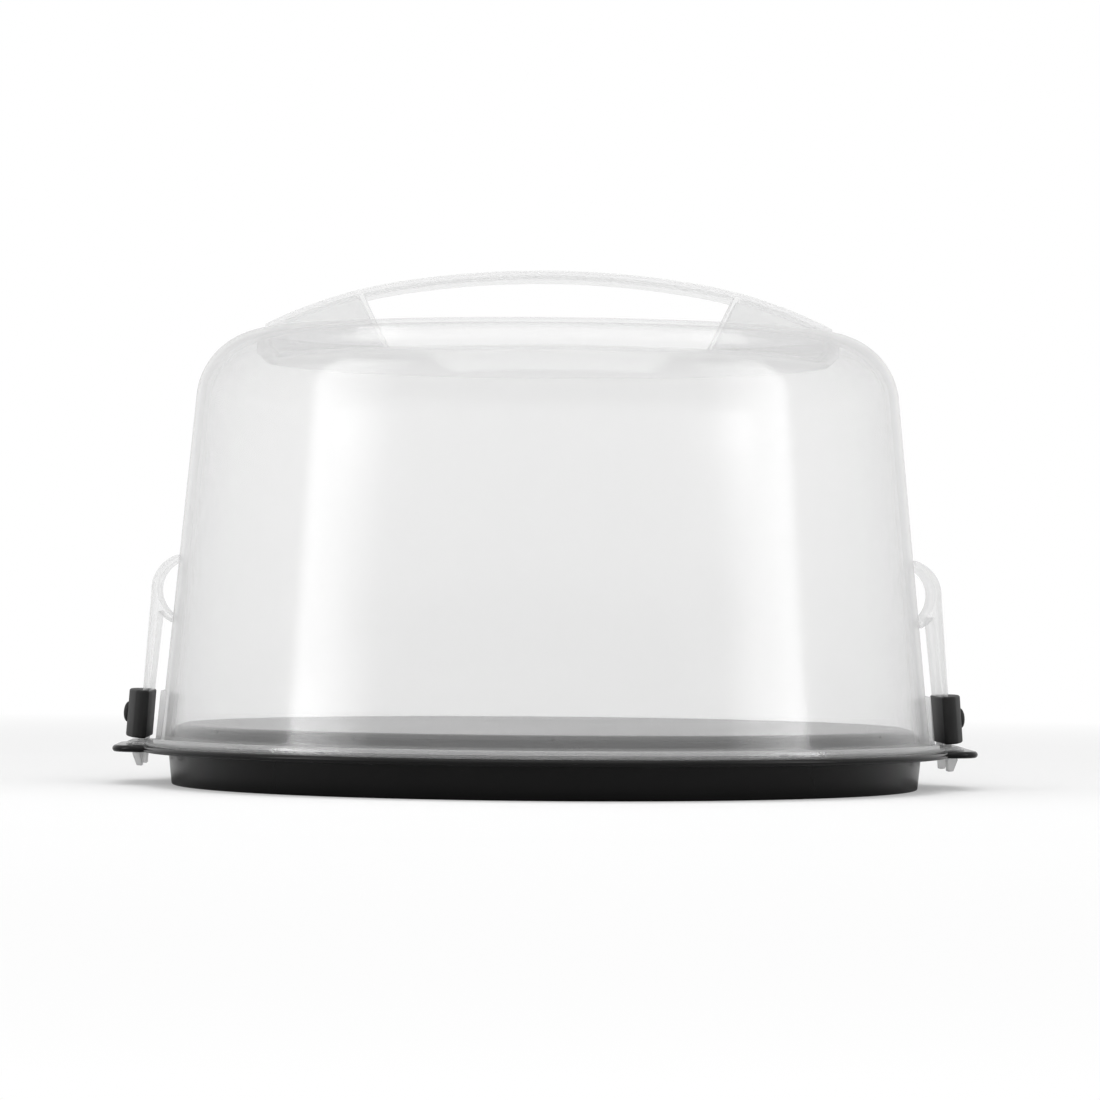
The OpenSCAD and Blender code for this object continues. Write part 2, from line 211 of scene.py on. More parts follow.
class CakeClipSizes(bpy.types.PropertyGroup):
    """Sizes of the two side clips"""

    width: length("Width", "Width of the strap", 0.042)
    strap: length("Strap", "Thickness of the strap", 0.002)
    loop: length("Loop", "Outer radius of the spring loop", 0.015)
    loop_wall: length("Loop wall", "Thickness of the strap round the loop", 0.0024)
    lean: angle("Lean", "Lean of the strap", 4.2)
    hook_width: length("Hook width", "Width of one hook", 0.010)
    hook_out: length("Hook", "How far a barb stands out past the strap", 0.0021)
    hook_top: length("Hook top", "Height of the barb's catching face", 0.01338)
    hook_tip: length("Hook tip", "Height of the hook's lower end", 0.0079)
    hook_lip: length("Hook lip", "Height of the barb's upright lip", 0.0008)
    slot_in: length("Slot inside", "Distance from the axis to a slot's inner edge", 0.16097)
    slot_out: length("Slot outside", "Distance from the axis to a slot's outer edge", 0.1699)
    slot_gap: length("Slot gap", "Gap round a hook in its slot", 0.0005)
    grip: length("Grip", "Thickness of the finger grip", 0.0096)
    grip_width: length("Grip width", "Width of the finger grip", 0.050)
    grip_height: length("Grip height", "Height of the finger grip", 0.0196)
    grip_bow: length("Grip bow", "How far the grip's face curves back at its sides", 0.0046)
    grip_wall: length("Grip wall", "Wall of the grip behind the strap", 0.001)
    grip_low: length("Grip foot", "Height of the grip's lower inner edge", 0.0189)
    grip_edge: length("Grip edge", "Softening of the grip's edges", 0.0009)
    button: length("Button", "Diameter of the thumb button", 0.0084)
    button_out: length("Button height", "How far the thumb button stands out", 0.0018)


class CakeFinishes(bpy.types.PropertyGroup):
    """Colours of the plastics"""

    frost: colour("Frosted plastic", "Colour of the clear frosted plastic", (0.8, 0.8, 0.8))
    dome_body: factor("Dome body", "Share of the light that one face of the dome stops", 0.1)
    handle_body: factor("Handle body", "Share of the light that one face of the handle stops", 0.16)
    clip_body: factor("Clip body", "Share of the light that one face of a clip stops", 0.16)
    edge_body: factor("Edge body", "Share of the light that a face stops when seen edge on", 0.75)
    black: colour("Black plastic", "Colour of the glossy black plastic", (0.006, 0.006, 0.006))
    grip: colour("Grip plastic", "Colour of the satin black grips", (0.010, 0.010, 0.010))


class CakeStageSettings(bpy.types.PropertyGroup):
    """The camera's view"""

    distance: length("Distance", "Distance from the camera to the axis", 1.946)
    eye: length("Eye height", "Height of the camera above the table", 0.0758)
    lens: bpy.props.FloatProperty(
        name="Lens", description="Focal length in millimetres", default=153.2, min=1.0
    )
    pitch: angle("Pitch", "How far the camera looks up", 0.65)
    roll: angle("Roll", "How far the picture turns clockwise", 0.487)
    yaw: angle("Yaw", "How far the camera turns to the right", 0.043)
    round: angle("Round", "How far round to the left the camera stands", 1.3)


GROUPS = {
    "cake_tray": CakeTraySizes,
    "cake_dome": CakeDomeSizes,
    "cake_handle": CakeHandleSizes,
    "cake_clip": CakeClipSizes,
    "cake_finish": CakeFinishes,
    "cake_stage": CakeStageSettings,
}


def arc(centre, radius, start, end, steps):
    """Points on an arc in X and Z, from one angle to another in degrees."""
    points = []
    for i in range(steps + 1):
        turn = math.radians(start + (end - start) * i / steps)
        points.append((centre[0] + radius * math.cos(turn), centre[1] + radius * math.sin(turn)))
    return points


def new_piece(name, mesh):
    """A new object in the scene that holds a mesh."""
    piece = bpy.data.objects.new(name, mesh)
    bpy.context.scene.collection.objects.link(piece)
    return piece


def mesh_from(name, points, faces):
    """A mesh from points and faces, its doubles merged and its faces turned outwards."""
    mesh = bpy.data.meshes.new(name)
    mesh.from_pydata([tuple(p) for p in points], [], faces)
    return cleaned(mesh)


def cleaned(mesh):
    """Merges a mesh's doubles and turns its faces outwards."""
    shape = bmesh.new()
    shape.from_mesh(mesh)
    bmesh.ops.remove_doubles(shape, verts=shape.verts, dist=TINY)
    bmesh.ops.dissolve_degenerate(shape, edges=shape.edges, dist=TINY)
    bmesh.ops.recalc_face_normals(shape, faces=shape.faces)
    shape.to_mesh(mesh)
    shape.free()
    return mesh


def smooth(piece, degrees=32):
    """Shades a piece smooth, with crisp edges where faces meet at more than an angle."""
    limit = math.radians(degrees)
    shape = bmesh.new()
    shape.from_mesh(piece.data)
    for face in shape.faces:
        face.smooth = True
    for edge in shape.edges:
        edge.smooth = len(edge.link_faces) == 2 and edge.calc_face_angle(math.pi) < limit
    shape.to_mesh(piece.data)
    shape.free()
    return piece


def settle(piece):
    """Applies a piece's modifiers to its mesh."""
    graph = bpy.context.evaluated_depsgraph_get()
    mesh = bpy.data.meshes.new_from_object(piece.evaluated_get(graph))
    piece.modifiers.clear()
    piece.data = mesh


def combine(piece, other, operation):
    """Cuts another solid from a piece, or joins it on, and removes the other."""
    step = piece.modifiers.new("combine", "BOOLEAN")
    step.operation = operation
    step.solver = "EXACT"
    step.object = other
    settle(piece)
    bpy.data.objects.remove(other)
    cleaned(piece.data)


def soften(piece, width):
    """Rounds a piece's sharp edges a little."""
    step = piece.modifiers.new("soften", "BEVEL")
    step.width = width
    step.segments = 2
    step.limit_method = "ANGLE"
    step.angle_limit = math.radians(40)
    step.use_clamp_overlap = True
    settle(piece)


def prism(name, outline, low, high):
    """A solid with an outline in X and Z, from one Y to another."""
    count = len(outline)
    points = [(x, low, z) for x, z in outline] + [(x, high, z) for x, z in outline]
    faces = [tuple(range(count)), tuple(range(2 * count - 1, count - 1, -1))]
    for i in range(count):
        j = (i + 1) % count
        faces.append((i, j, count + j, count + i))
    return new_piece(name, mesh_from(name, points, faces))


def stack(name, layers):
    """A solid from closed outlines of one count, laid one after another, with both ends filled."""
    count = len(layers[0])
    points = [point for layer in layers for point in layer]
    faces = [tuple(range(count - 1, -1, -1))]
    for k in range(len(layers) - 1):
        for i in range(count):
            j = (i + 1) % count
            faces.append((k * count + i, k * count + j, (k + 1) * count + j, (k + 1) * count + i))
    last = (len(layers) - 1) * count
    faces.append(tuple(range(last, last + count)))
    return new_piece(name, mesh_from(name, points, faces))


def block(name, low, high):
    """A plain box for cutting."""
    outline = [(low[0], low[2]), (high[0], low[2]), (high[0], high[2]), (low[0], high[2])]
    return prism(name, outline, low[1], high[1])


def join_nodes(tree, links):
    """Links sockets given as (node, output, node, input)."""
    for source, output, target, entry in links:
        tree.links.new(source.outputs[output], target.inputs[entry])


def math_node(tree, operation, number=None):
    """A math node, with its second number where that is fixed."""
    node = tree.nodes.new("ShaderNodeMath")
    node.operation = operation
    if number is not None:
        node.inputs[1].default_value = number
    return node


def shape_tree(name, entries, result):
    """An empty Geometry Nodes tree with named sockets, and its first and last node."""
    tree = bpy.data.node_groups.new(name, "GeometryNodeTree")
    for label, kind in entries:
        tree.interface.new_socket(label, in_out="INPUT", socket_type="NodeSocket" + kind)
    tree.interface.new_socket(result, in_out="OUTPUT", socket_type="NodeSocketGeometry")
    return tree, tree.nodes.new("NodeGroupInput"), tree.nodes.new("NodeGroupOutput")


def lathe_tree():
    """Geometry Nodes that turn a half section round the Z axis."""
    entries = (("Half Section", "Geometry"), ("Segments", "Int"), ("Material", "Material"))
    tree, start, end = shape_tree("turned_shell", entries, "Shell")
    make = tree.nodes.new
    size = make("GeometryNodeAttributeDomainSize")
    across = math_node(tree, "ADD", 1)
    grid = make("GeometryNodeMeshGrid")
    index = make("GeometryNodeInputIndex")
    row = math_node(tree, "MODULO")
    column = math_node(tree, "DIVIDE")
    whole = math_node(tree, "FLOOR")
    share = math_node(tree, "DIVIDE")
    turn = math_node(tree, "MULTIPLY", 2 * math.pi)
    place = make("GeometryNodeInputPosition")
    sample = make("GeometryNodeSampleIndex")
    sample.data_type = "FLOAT_VECTOR"
    spin = make("ShaderNodeVectorRotate")
    spin.rotation_type = "Z_AXIS"
    lay = make("GeometryNodeSetPosition")
    merge = make("GeometryNodeMergeByDistance")
    merge.inputs["Distance"].default_value = TINY
    realize = make("GeometryNodeRealizeInstances")
    paint = make("GeometryNodeSetMaterial")
    join_nodes(tree, [
        (start, "Half Section", size, "Geometry"),
        (start, "Segments", across, 0),
        (across, 0, grid, "Vertices X"),
        (size, "Point Count", grid, "Vertices Y"),
        (index, 0, row, 0),
        (size, "Point Count", row, 1),
        (index, 0, column, 0),
        (size, "Point Count", column, 1),
        (column, 0, whole, 0),
        (whole, 0, share, 0),
        (start, "Segments", share, 1),
        (share, 0, turn, 0),
        (start, "Half Section", sample, "Geometry"),
        (place, 0, sample, "Value"),
        (row, 0, sample, "Index"),
        (sample, "Value", spin, "Vector"),
        (turn, 0, spin, "Angle"),
        (grid, "Mesh", lay, "Geometry"),
        (spin, "Vector", lay, "Position"),
        (lay, "Geometry", merge, "Geometry"),
        (merge, "Geometry", realize, "Geometry"),
        (realize, "Geometry", paint, "Geometry"),
        (start, "Material", paint, "Material"),
        (paint, "Geometry", end, "Shell"),
    ])
    return tree


def spokes_tree():
    """Geometry Nodes that set spokes round an axis and rings between them."""
    entries = (
        ("Rings", "Geometry"), ("Spokes", "Int"), ("Inner Radius", "Float"),
        ("Outer Radius", "Float"), ("Thickness", "Float"), ("Height", "Float"), ("Foot", "Float"),
        ("Material", "Material"),
    )
    tree, start, end = shape_tree("ribs_in_rings", entries, "Ribs")
    make = tree.nodes.new
    span = math_node(tree, "SUBTRACT")
    middle = math_node(tree, "ADD")
    half = math_node(tree, "MULTIPLY", 0.5)
    size = make("ShaderNodeCombineXYZ")
    cube = make("GeometryNodeMeshCube")
    away = make("ShaderNodeCombineXYZ")
    shift = make("GeometryNodeTransform")
    dots = make("GeometryNodeMeshLine")
    dots.inputs["Offset"].default_value = (0, 0, 0)
    index = make("GeometryNodeInputIndex")
    share = math_node(tree, "DIVIDE")
    turn = math_node(tree, "MULTIPLY", 2 * math.pi)
    facing = make("ShaderNodeCombineXYZ")
    repeat = make("GeometryNodeInstanceOnPoints")
    circles = make("GeometryNodeMeshToCurve")
    section = make("GeometryNodeCurvePrimitiveQuadrilateral")
    sweep = make("GeometryNodeCurveToMesh")
    sweep.inputs["Fill Caps"].default_value = False
    both = make("GeometryNodeJoinGeometry")
    lift = make("GeometryNodeTransform")
    raised = math_node(tree, "MULTIPLY_ADD", 0.5)
    up = make("ShaderNodeCombineXYZ")
    realize = make("GeometryNodeRealizeInstances")
    paint = make("GeometryNodeSetMaterial")
    join_nodes(tree, [
        (start, "Outer Radius", span, 0), (start, "Inner Radius", span, 1),
        (start, "Outer Radius", middle, 0), (start, "Inner Radius", middle, 1),
        (middle, 0, half, 0), (span, 0, size, "X"),
        (start, "Thickness", size, "Y"), (start, "Height", size, "Z"),
        (size, 0, cube, "Size"), (half, 0, away, "X"),
        (cube, "Mesh", shift, "Geometry"), (away, 0, shift, "Translation"),
        (start, "Spokes", dots, "Count"), (index, 0, share, 0), (start, "Spokes", share, 1),
        (share, 0, turn, 0), (turn, 0, facing, "Z"),
        (dots, "Mesh", repeat, "Points"), (shift, "Geometry", repeat, "Instance"),
        (facing, 0, repeat, "Rotation"),
        (start, "Rings", circles, "Mesh"), (start, "Thickness", section, "Width"),
        (start, "Height", section, "Height"), (circles, "Curve", sweep, "Curve"),
        (section, "Curve", sweep, "Profile Curve"),
        (repeat, "Instances", both, 0), (sweep, "Mesh", both, 0),
        (start, "Height", raised, 0), (start, "Foot", raised, 2), (raised, 0, up, "Z"),
        (both, 0, lift, "Geometry"), (up, 0, lift, "Translation"),
        (lift, "Geometry", realize, "Geometry"), (realize, "Geometry", paint, "Geometry"),
        (start, "Material", paint, "Material"), (paint, "Geometry", end, "Ribs"),
    ])
    return tree


def run_tree(piece, tree, values):
    """Runs a Geometry Nodes tree on a piece and keeps the result as its plain mesh."""
    step = piece.modifiers.new(tree.name, "NODES")
    step.node_group = tree
    for item in tree.interface.items_tree:
        if item.in_out == "INPUT" and item.name in values:
            step[item.identifier] = values[item.name]
    settle(piece)
    cleaned(piece.data)
    return piece


def turned(name, half_section, segments, material):
    """A shell of revolution from the points of its half section."""
    mesh = bpy.data.meshes.new(name)
    edges = [(i, i + 1) for i in range(len(half_section) - 1)]
    mesh.from_pydata([(x, 0, z) for x, z in half_section], edges, [])
    piece = new_piece(name, mesh)
    tree = bpy.data.node_groups.get("turned_shell") or lathe_tree()
    return run_tree(piece, tree, {"Segments": segments, "Material": material})


def ear_outline(plan, inset, z):
    """Plan of an ear at a height, from inside the rim out to its tip, kept in by an inset."""
    side, start, tip, corner, half = plan
    around = corner - inset
    outline = [(start, -half - around), (tip - corner, -half - around)]
    for quarter, y in ((-90, -half), (0, half)):
        outline += [
            (tip - corner + p[0], y + p[1]) for p in arc((0, 0), around, quarter, quarter + 90, 12)
        ]
    outline += [(start, half + around)]
    return [(side * x, y, z) for x, y in outline]


def ear_layers(plan, low, high):
    """Layers of an ear's plate, with a round edge."""
    roll = (high - low) / 2
    return [ear_outline(plan, roll - x, z) for x, z in arc((0, (low + high) / 2), roll, -90, 90, 8)]


def slot_blocks(clip, low, high):
    """Blocks that cut the four hook slots."""
    blocks = []
    middle = (clip.width - clip.hook_width) / 2
    half = clip.hook_width / 2 + clip.slot_gap
    for side in SIDES.values():
        ends = sorted((side * clip.slot_in, side * clip.slot_out))
        for y in (-middle, middle):
            blocks.append(block("slot", (ends[0], y - half, low), (ends[1], y + half, high)))
    return blocks


def wall_radius(dome, z):
    """Outer radius of the dome's wall at a height."""
    return dome.foot_radius - math.tan(dome.draft) * (z - DOME_LOW.z)


def floor_height(dome, radius):
    """Height of the recess floor at a radius."""
    edge = dome.crest_height - dome.recess_depth
    return edge + dome.recess_rise * (1 - radius / dome.recess_radius)


def dome_outline(dome, inset):
    """Half section of the dome from its axis down to its foot, kept in by an inset."""
    turn = inset * math.tan(math.radians(22.5))
    bevel = dome.recess_bevel
    radius = dome.recess_radius
    middle_z = dome.crest_height - dome.shoulder
    middle_x = wall_radius(dome, middle_z) - dome.shoulder / math.cos(dome.draft)
    edge_x = radius + dome.recess_edge
    reach = dome.shoulder - dome.recess_edge
    edge_z = middle_z + math.sqrt(reach ** 2 - (edge_x - middle_x) ** 2)
    meet = math.degrees(math.atan2(edge_z - middle_z, edge_x - middle_x))
    points = [(0, floor_height(dome, 0) - inset)]
    for share in (0.25, 0.5, 0.75, 0.97):
        points.append((radius * share, floor_height(dome, radius * share) - inset))
    points += [
        (radius - bevel + turn, floor_height(dome, radius - bevel) - inset),
        (radius + inset, floor_height(dome, radius) + bevel - turn),
    ]
    points += arc((edge_x, edge_z), dome.recess_edge - inset, 180, meet, 7)
    draft = math.degrees(dome.draft)
    points += arc((middle_x, middle_z), dome.shoulder - inset, meet, draft, 28)[1:]
    lean_in = inset / math.cos(dome.draft)
    top = points[-1][1]
    for step in range(1, 12):
        z = top + (DOME_LOW.z + dome.flange - top) * step / 12
        points.append((wall_radius(dome, z) - lean_in, z))
    return points


def new_node(tree, kind, **inputs):
    """A shader node with its inputs set by name, an underscore for each space."""
    node = tree.nodes.new(kind)
    for label, value in inputs.items():
        node.inputs[label.replace("_", " ")].default_value = value
    return node


def fresh_material(name):
    """An empty node material and its tree."""
    material = bpy.data.materials.new(name)
    material.use_nodes = True
    tree = material.node_tree
    tree.nodes.clear()
    return material, tree


def moulded_surface(tree, shader, grain, rough, spread, depth):
    """Gives a shader the slight unevenness of moulded plastic: cloudy gloss and a fine ripple."""
    place = tree.nodes.new("ShaderNodeTexCoord")
    cloud = new_node(tree, "ShaderNodeTexNoise", Scale=grain, Detail=3.0)
    gloss = new_node(tree, "ShaderNodeMapRange", To_Min=rough - spread, To_Max=rough + spread)
    ripple = new_node(tree, "ShaderNodeTexNoise", Scale=grain * RIPPLE, Detail=2.0)
    bump = new_node(tree, "ShaderNodeBump", Strength=depth, Distance=RIPPLE_HEIGHT)
    join_nodes(tree, [
        (place, "Object", cloud, "Vector"), (cloud, "Fac", gloss, "Value"),
        (gloss, "Result", shader, "Roughness"),
        (place, "Object", ripple, "Vector"), (ripple, "Fac", bump, "Height"),
        (bump, "Normal", shader, "Normal"),
    ])


def seen_directly(tree):
    """One for what the camera sees, straight, in a gloss or through glass, or else nought."""
    ray = tree.nodes.new("ShaderNodeLightPath")
    straight = math_node(tree, "MAXIMUM")
    any_way = math_node(tree, "MAXIMUM")
    join_nodes(tree, [
        (ray, "Is Camera Ray", straight, 0), (ray, "Is Transmission Ray", straight, 1),
        (straight, 0, any_way, 0), (ray, "Is Glossy Ray", any_way, 1),
    ])
    return any_way


def frosted(name, tone, body, edge, rough):
    """Clear frosted plastic: it lets light through, glows milky and has a soft gloss."""
    material, tree = fresh_material(name)
    place = tree.nodes.new("ShaderNodeTexCoord")
    flow = new_node(tree, "ShaderNodeTexNoise", Scale=7.0, Detail=4.0)
    haze = new_node(
        tree, "ShaderNodeMapRange", To_Min=body * (1 - CLOUDY), To_Max=body * (1 + CLOUDY)
    )
    height = tree.nodes.new("ShaderNodeSeparateXYZ")
    foot = new_node(
        tree, "ShaderNodeMapRange", From_Min=DOME_LOW.z + FOOT_RISE[0],
        From_Max=DOME_LOW.z + FOOT_RISE[1], To_Min=FOOT_DENSE, To_Max=1.0,
    )
    dense = math_node(tree, "MULTIPLY")
    slant = new_node(tree, "ShaderNodeLayerWeight", Blend=0.5)
    steep = math_node(tree, "POWER", BODY_POWER)
    whole = new_node(tree, "ShaderNodeMapRange", To_Max=edge)
    fringe = math_node(tree, "POWER", SHINE_POWER)
    shine = new_node(tree, "ShaderNodeMapRange", To_Min=SHINE[0], To_Max=SHINE[1])
    clear = new_node(tree, "ShaderNodeBsdfTransparent", Color=WHITE)
    front = new_node(tree, "ShaderNodeBsdfDiffuse", Color=(*tone, 1))
    through = new_node(tree, "ShaderNodeBsdfTranslucent", Color=(*tone, 1))
    milk = new_node(tree, "ShaderNodeMixShader", Fac=MILK)
    veil = tree.nodes.new("ShaderNodeMixShader")
    gloss = new_node(tree, "ShaderNodeBsdfGlossy", Color=WHITE)
    coated = tree.nodes.new("ShaderNodeMixShader")
    out = tree.nodes.new("ShaderNodeOutputMaterial")
    join_nodes(tree, [
        (place, "Object", flow, "Vector"), (flow, "Fac", haze, "Value"),
        (place, "Object", height, 0), (height, "Z", foot, "Value"),
        (haze, "Result", dense, 0), (foot, "Result", dense, 1),
        (slant, "Facing", steep, 0), (steep, 0, whole, "Value"), (dense, 0, whole, "To Min"),
        (slant, "Facing", fringe, 0), (fringe, 0, shine, "Value"),
        (front, 0, milk, 1), (through, 0, milk, 2),
        (whole, "Result", veil, "Fac"), (clear, 0, veil, 1), (milk, 0, veil, 2),
        (shine, "Result", coated, "Fac"), (veil, 0, coated, 1), (gloss, 0, coated, 2),
        (coated, 0, out, "Surface"),
    ])
    moulded_surface(tree, gloss, grain=9.0, rough=rough, spread=0.02, depth=0.006)
    return material


def black_plastic(name, tone, gloss, rough, grain, depth):
    """Black moulded plastic with a faint mottle in its colour and gloss."""
    material, tree = fresh_material(name)
    shader = new_node(tree, "ShaderNodeBsdfPrincipled", IOR=1.5)
    shader.inputs["Specular IOR Level"].default_value = gloss
    place = tree.nodes.new("ShaderNodeTexCoord")
    mottle = new_node(tree, "ShaderNodeTexNoise", Scale=grain * 2, Detail=5.0)
    ramp = tree.nodes.new("ShaderNodeValToRGB")
    for stop, share in zip(ramp.color_ramp.elements, MOTTLE):
        stop.color = (*[c * share for c in tone], 1)
    out = tree.nodes.new("ShaderNodeOutputMaterial")
    join_nodes(tree, [
        (place, "Object", mottle, "Vector"), (mottle, "Fac", ramp, "Fac"),
        (ramp, "Color", shader, "Base Color"), (shader, "BSDF", out, "Surface"),
    ])
    moulded_surface(tree, shader, grain, rough, spread=0.05, depth=depth)
    return material


def clear_plastic(finish, part):
    """The frosted plastic of one part, as dense as its own setting says."""
    body = getattr(finish, part + "_body")
    return frosted("frosted_" + part, finish.frost, body, finish.edge_body, rough=0.15)


def dress(piece, material, body, slot, *nodes):
    """Paints a finished piece, sets it on its body and lets it stand for CAD nodes."""
    piece.data.materials.clear()
    piece.data.materials.append(material)
    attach(piece, body)
    if nodes:
        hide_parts(*nodes)


class CAKE_OT_tray(bpy.types.Operator):
    """Build the black tray: plateau, rolled rim with ears, foot ring and ribs"""

    bl_idname = "cake.build_tray"
    bl_label = "Build Tray"

    def execute(self, context):
        scene = context.scene
        tray = scene.cake_tray
        paint = black_plastic(
            "black_tray", scene.cake_finish.black, gloss=0.14, rough=0.2, grain=18.0, depth=0.008
        )
        tray_shell = turned("tray_shell", self.half_section(tray), tray.segments, paint)
        edge = tray.rim_edge
        rim = tray.rim_height
        start = tray.rim_radius - tray.ear_corner
        for side in SIDES.values():
            plan = (side, start, tray.ear_tip, tray.ear_corner, tray.ear_half)
            combine(tray_shell, stack("ear", ear_layers(plan, rim - edge, rim)), "UNION")
            hollow = [ear_outline(plan, edge, z) for z in (rim - 2 * edge, rim - tray.wall)]
            combine(tray_shell, stack("hollow", hollow), "DIFFERENCE")
        for slot in slot_blocks(scene.cake_clip, 0.0, tray.rim_height + tray.wall):
            combine(tray_shell, slot, "DIFFERENCE")
        dress(smooth(tray_shell), paint, "base", "tray_black", "tray")
        ribs = self.ribs(tray, paint)
        dress(smooth(ribs), paint, "base", "tray_black")
        return {"FINISHED"}

    def half_section(self, tray):
        """From the plateau's middle round the rim and the foot ring to the underside's middle."""
        rim = tray.rim_height
        roll = tray.rim_edge / 2
        top = tray.plateau_height
        edge = tray.plateau_edge
        under = rim - tray.wall
        hollow = tray.foot_radius - tray.wall
        inner_edge = edge - tray.wall
        points = [(ring, top) for ring in PLATEAU_RINGS]
        points += arc((tray.plateau_radius - edge, top - edge), edge, 90, 0, 12)
        fillet = (tray.plateau_radius + PLATEAU_FILLET, rim + PLATEAU_FILLET)
        points += arc(fillet, PLATEAU_FILLET, 180, 270, 4)
        points += arc((tray.rim_radius - roll, rim - roll), roll, 90, -90, 12)
        points.append((tray.rim_radius - ROLL_SPAN * roll, under))
        points.append((tray.foot_radius + tray.foot_lean, under))
        points += arc((tray.foot_radius - FOOT_EDGE, FOOT_EDGE), FOOT_EDGE, 0, -90, 4)
        points += arc((hollow + FOOT_EDGE, FOOT_EDGE), FOOT_EDGE, -90, -180, 4)
        points += arc((hollow - inner_edge, top - tray.wall - inner_edge), inner_edge, 0, 90, 8)
        return points + [(ring, top - tray.wall) for ring in reversed(PLATEAU_RINGS)]

    def ribs(self, tray, paint):
        """Spokes and rings under the plateau."""
        hollow = tray.foot_radius - tray.wall
        points = []
        edges = []
        count = tray.segments // 2
        radius = tray.rib_ring
        while radius < hollow - tray.rib_step / 2:
            first = len(points)
            for i in range(count):
                turn = 2 * math.pi * i / count
                points.append((radius * math.cos(turn), radius * math.sin(turn), 0))
                edges.append((first + i, first + (i + 1) % count))
            radius += tray.rib_step
        mesh = bpy.data.meshes.new("tray_ribs")
        mesh.from_pydata(points, edges, [])
        ribs = new_piece("tray_ribs", mesh)
        foot = tray.plateau_height - tray.wall - tray.rib_height
        return run_tree(ribs, spokes_tree(), {
            "Spokes": tray.rib_count, "Inner Radius": tray.rib_ring,
            "Outer Radius": hollow + tray.wall / 2, "Thickness": tray.rib_thickness,
            "Height": tray.rib_height + tray.wall / 4, "Foot": foot, "Material": paint,
        })


class CAKE_OT_dome(bpy.types.Operator):
    """Build the clear dome: recessed crown, shoulder, wall and slotted foot flange"""

    bl_idname = "cake.build_dome"
    bl_label = "Build Dome"

    def execute(self, context):
        scene = context.scene
        dome = scene.cake_dome
        tray = scene.cake_tray
        paint = clear_plastic(scene.cake_finish, "dome")
        dome_shell = turned("dome_shell", self.half_section(dome), tray.segments, paint)
        for side in SIDES.values():
            plan = (
                side, dome.flange_radius - tray.ear_corner, tray.ear_tip - dome.ear_inset,
                tray.ear_corner - dome.ear_inset, tray.ear_half,
            )
            layers = ear_layers(plan, DOME_LOW.z, DOME_LOW.z + dome.flange)
            combine(dome_shell, stack("ear", layers), "UNION")
            combine(dome_shell, self.pad(dome, side), "UNION")
        for bead in self.beads(dome, tray):
            combine(dome_shell, bead, "UNION")
        low = DOME_LOW.z - dome.flange
        for slot in slot_blocks(scene.cake_clip, low, DOME_LOW.z + 2 * dome.flange):
            combine(dome_shell, slot, "DIFFERENCE")
        dress(smooth(dome_shell), paint, "lid", "dome_clear", "dome")
        return {"FINISHED"}

    def half_section(self, dome):
        """From the crown's middle over the outside, round the flange and back up inside."""
        low = DOME_LOW.z
        edge = dome.flange / 2
        points = dome_outline(dome, 0)
        points.append((wall_radius(dome, low + dome.flange) + FLANGE_STEP, low + dome.flange))
        points += arc((dome.flange_radius - edge, low + edge), edge, 90, -90, 6)
        inside = dome_outline(dome, dome.wall)
        inside.append((wall_radius(dome, low) - dome.wall / math.cos(dome.draft), low))
        return points + inside[::-1]

    def beads(self, dome, tray):
        """The raised bead on the flange, in front and behind, which stops short of the clips."""
        low = DOME_LOW.z + dome.flange / 2
        high = DOME_LOW.z + dome.bead_height
        half = dome.bead / 2
        centre = dome.flange_radius - half
        section = [(centre - half, low)]
        section += arc((centre, high - half), half, 180, 0, 8)
        section += [(centre + half, low)]
        first = math.degrees(math.asin(dome.bead_gap / dome.flange_radius))
        steps = tray.segments // 3
        beads = []
        for turn in (0, 180):
            layers = []
            for i in range(steps + 1):
                around = math.radians(first + turn + (180 - 2 * first) * i / steps)
                layers.append([(x * math.cos(around), x * math.sin(around), z) for x, z in section])
            beads.append(stack("bead", layers))
        return beads

    def pad(self, dome, side):
        """The flat stop behind a finger grip."""
        low = DOME_LOW.z + dome.flange / 2
        high = dome.pad_top
        outline = [(side * (wall_radius(dome, z) + dome.pad), z) for z in (low, high)]
        outline += [
            (side * (wall_radius(dome, z) - dome.wall / 2 - PAD_ROOT), z) for z in (high, low)
        ]
        return prism("pad", outline, -dome.pad_half, dome.pad_half)


